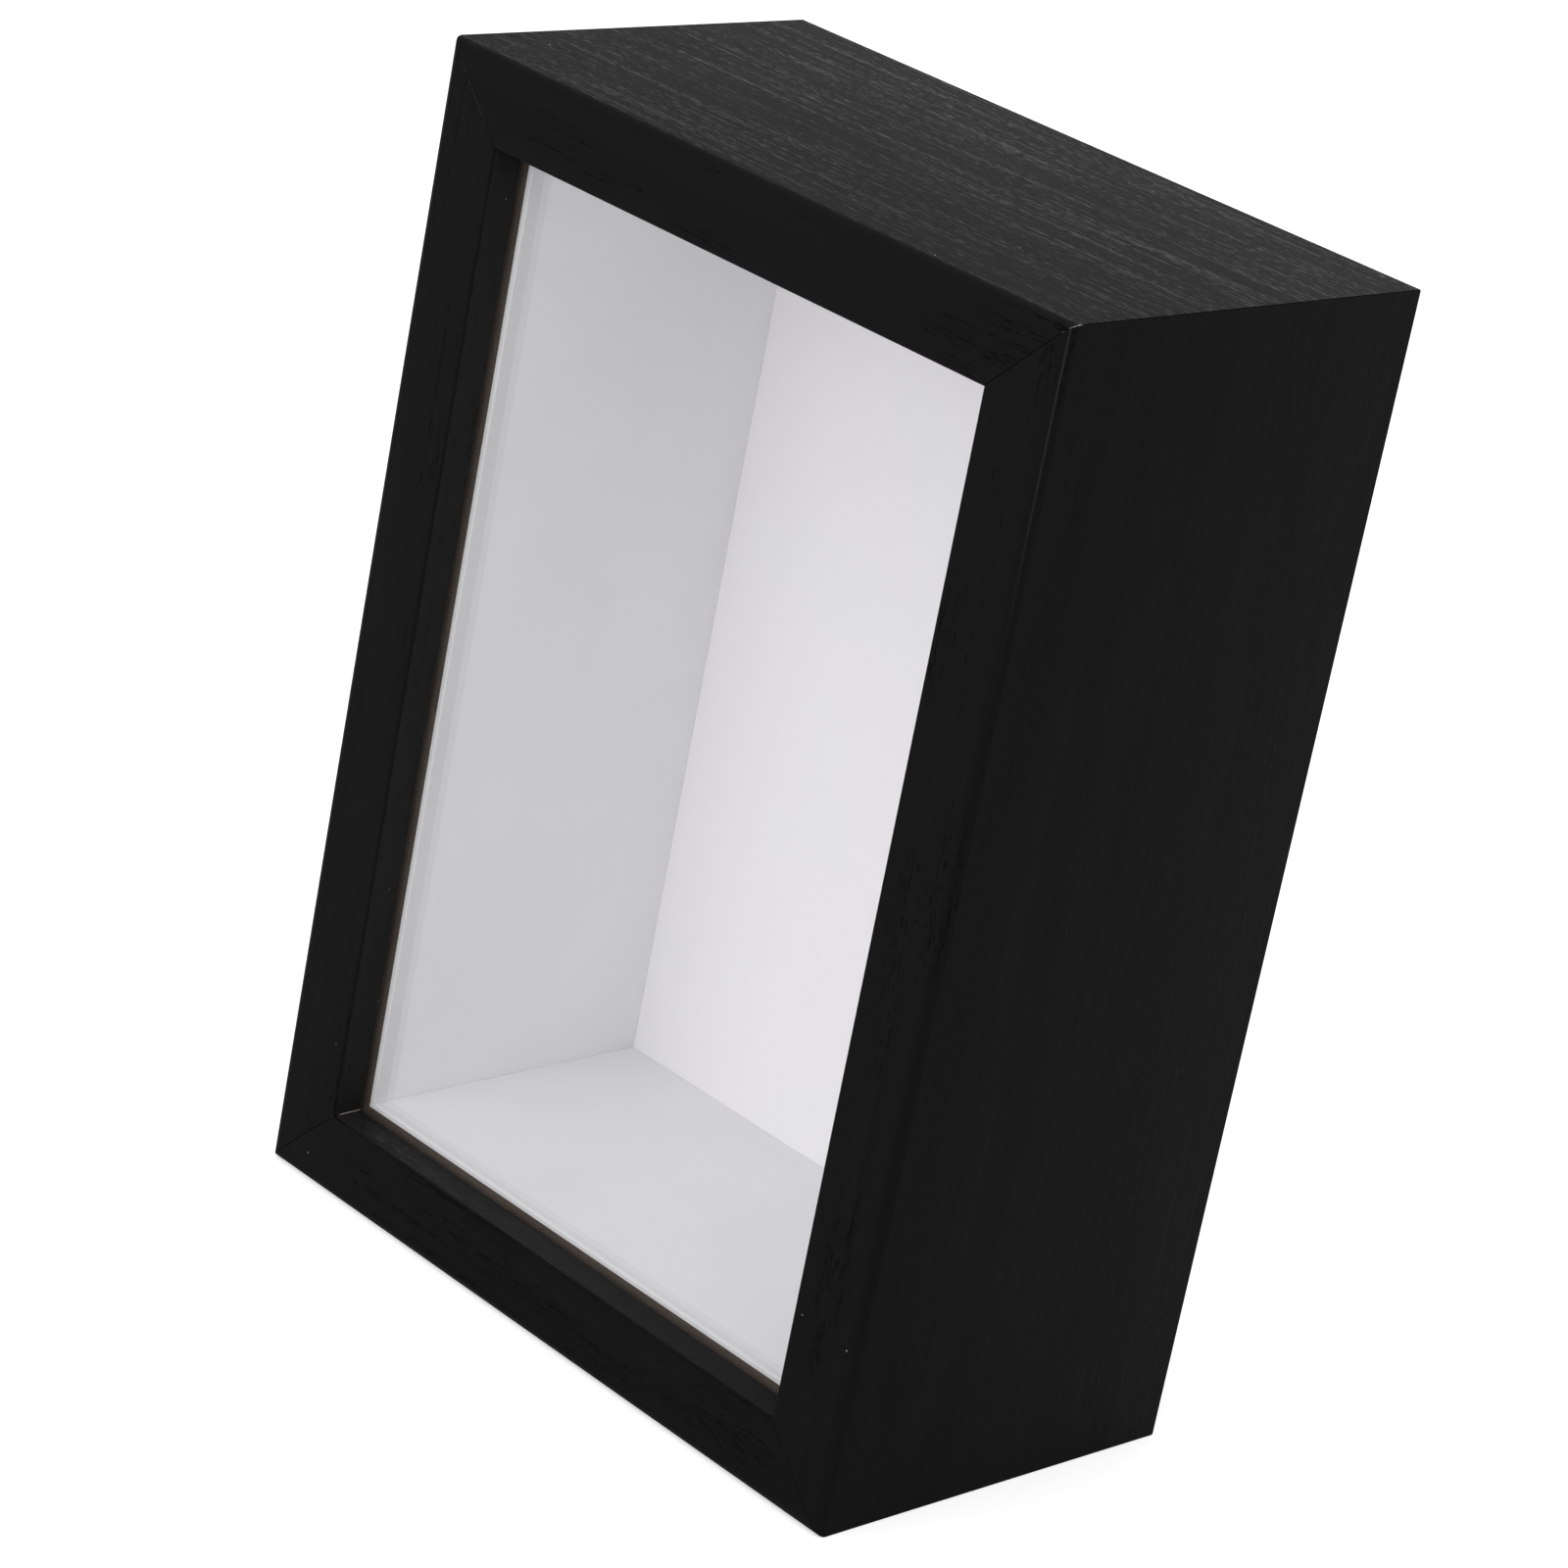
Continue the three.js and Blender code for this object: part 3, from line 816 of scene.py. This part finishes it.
# %% V-nails
def v_nail(corner, right, up):
    """Two legs at a right angle: their centre lines meet at nought, and the elbow is a quarter circle.

    right and up are 1 or -1, for the side and the end of the frame that the corner is at. The outline is
    turned over to suit them, and the nail stands a hair proud of the rear edge, so that it shows.
    """
    node = "v_nail_" + corner
    low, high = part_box(node)
    leg, thin = high.x - low.x, 0.5 * mm
    half, end = thin / 2, thin / 2 - leg
    elbow = arc((-thin, -thin), thin * 1.5, 0, 90, 5)
    inner = arc((-thin, -thin), thin * 0.5, 90, 0, 3)
    outline = np.concatenate([elbow, [(end, half), (end, -half)], inner, [(-half, end), (half, end)]])
    sign = np.array([-right, -up])
    anchor = np.array([high.x if right < 0 else low.x, high.z if up < 0 else low.z]) - sign * half
    flat = anchor + outline * sign
    ends = (low.y, rear + 0.03 * mm)
    rows = [np.stack([flat[:, 0], np.full(len(flat), y), flat[:, 1]], axis=1) for y in ends]
    return dress(make_piece(node + "_strip", np.stack(rows), [zinc]), node, "box")


for up, row in ((-1, "bottom"), (1, "top")):
    for right, column in ((-1, "left"), (1, "right")):
        v_nail(f"{row}_{column}", right, up)

# %% [markdown]
# ## The floor
# The box stands on a plain pale floor, far wider than the view. A floor bright enough to look white
# would throw more light back up at the black sides, so this one is pale grey to the lamps and only glows
# to the camera.

# %% Floor
floor_grey = (0.8, 0.8, 0.8, 1)
floor_glow = 0.5


def floor_material():
    """Pale grey. Its glow is multiplied by one for a camera ray and by nought for every other ray."""
    material, tree, output, _ = new_material("pale_floor")
    seen = add(tree, "ShaderNodeLightPath").outputs["Is Camera Ray"]
    glow = maths(tree, "MULTIPLY", seen, floor_glow)
    sockets = {"Emission_Color": (1, 1, 1, 1), "Emission_Strength": glow}
    shader = add(tree, "ShaderNodeBsdfPrincipled", Base_Color=floor_grey, Roughness=0.9, **sockets)
    tree.links.new(shader.outputs[0], output.inputs[0])
    return material


floor_mesh = bpy.data.meshes.new("floor")
floor_reach, floor_drop = 4.0, -0.05 * mm
signs = [(-1, -1), (1, -1), (1, 1), (-1, 1)]
corners = [(x * floor_reach, y * floor_reach, floor_drop) for x, y in signs]
floor_mesh.from_pydata(corners, [], [(0, 1, 2, 3)])
floor_mesh.materials.append(floor_material())
floor = bpy.data.objects.new("floor", floor_mesh)
bpy.context.scene.collection.objects.link(floor)
print(f"floor {2 * floor_reach} m square")

# %% [markdown]
# ## Lights
# Two wide suns are enough. One comes level from the front and reaches the back of the box, and one comes
# from high in front and skims the grain on top. Area lamps would do the same, but their light falls off
# along the box's depth. The sky adds even light from every side, and keeps the back readable. It is a
# shade darker as a light than it is to the camera, which sees it as white, so the floor meets it without
# a line.

# %% Lights
box_centre = Vector((0, (front + rear) / 2, middle))
sun_width = radians(60)


def aimed(obj, place, target):
    """Puts a light or a camera at a place and turns its -Z axis to the target."""
    obj.location = place
    obj.rotation_mode = "QUATERNION"
    obj.rotation_quaternion = (Vector(target) - Vector(place)).to_track_quat("-Z", "Y")
    bpy.context.scene.collection.objects.link(obj)


def soft_sun(name, direction, strength):
    """A sun wide enough to have no sharp shadow, shining from the given side."""
    light = bpy.data.lights.new(name, "SUN")
    light.energy, light.angle = strength, sun_width
    aimed(bpy.data.objects.new(name, light), box_centre + Vector(direction), box_centre)
    print(f"{name}: strength {strength}, from {direction}")


soft_sun("front_sun", (0.06, -0.99, 0.0), 1.02)
soft_sun("high_sun", (0.1, -0.6, 0.78), 0.62)

# %% Sky
studio_grey, seen_white = 0.82, 1.3
world = bpy.data.worlds.new("studio")
bpy.context.scene.world = world
world.use_nodes = True
tree = world.node_tree
sky = tree.nodes["Background"]
sky.inputs["Color"].default_value = (1.0, 1.0, 1.0, 1)
seen = add(tree, "ShaderNodeLightPath").outputs["Is Camera Ray"]
tree.links.new(between(tree, seen, 0, 1, studio_grey, seen_white), sky.inputs["Strength"])
print(f"sky {studio_grey} as a light, {seen_white} to the camera")

# %% [markdown]
# ## Camera
# A long lens from a little over a metre keeps the box's sides nearly parallel, as a product view does.
# The camera's place is worked out from two angles and a distance, because they can be read and changed
# one at a time. It is rolled a little about its own line of sight, so that the box leans in the view.

# %% Camera
azimuth, elevation, roll = radians(43.09), radians(21.3), radians(11.1)
distance = 1.1058
aim = box_centre + Vector((-0.9, -4.8, -7.5)) * mm
away = Vector((sin(azimuth) * cos(elevation), -cos(azimuth) * cos(elevation), sin(elevation)))
camera = bpy.data.cameras.new("camera")
camera.lens, camera.sensor_width = 123.3, 36.0
eye = bpy.data.objects.new("camera", camera)
aimed(eye, aim + distance * away, aim)
eye.rotation_quaternion = eye.rotation_quaternion @ Matrix.Rotation(roll, 4, "Z").to_quaternion()
bpy.context.scene.camera = eye
bpy.context.scene.view_settings.view_transform = "Standard"
print(f"camera {distance} m from its aim, {camera.lens} mm lens")
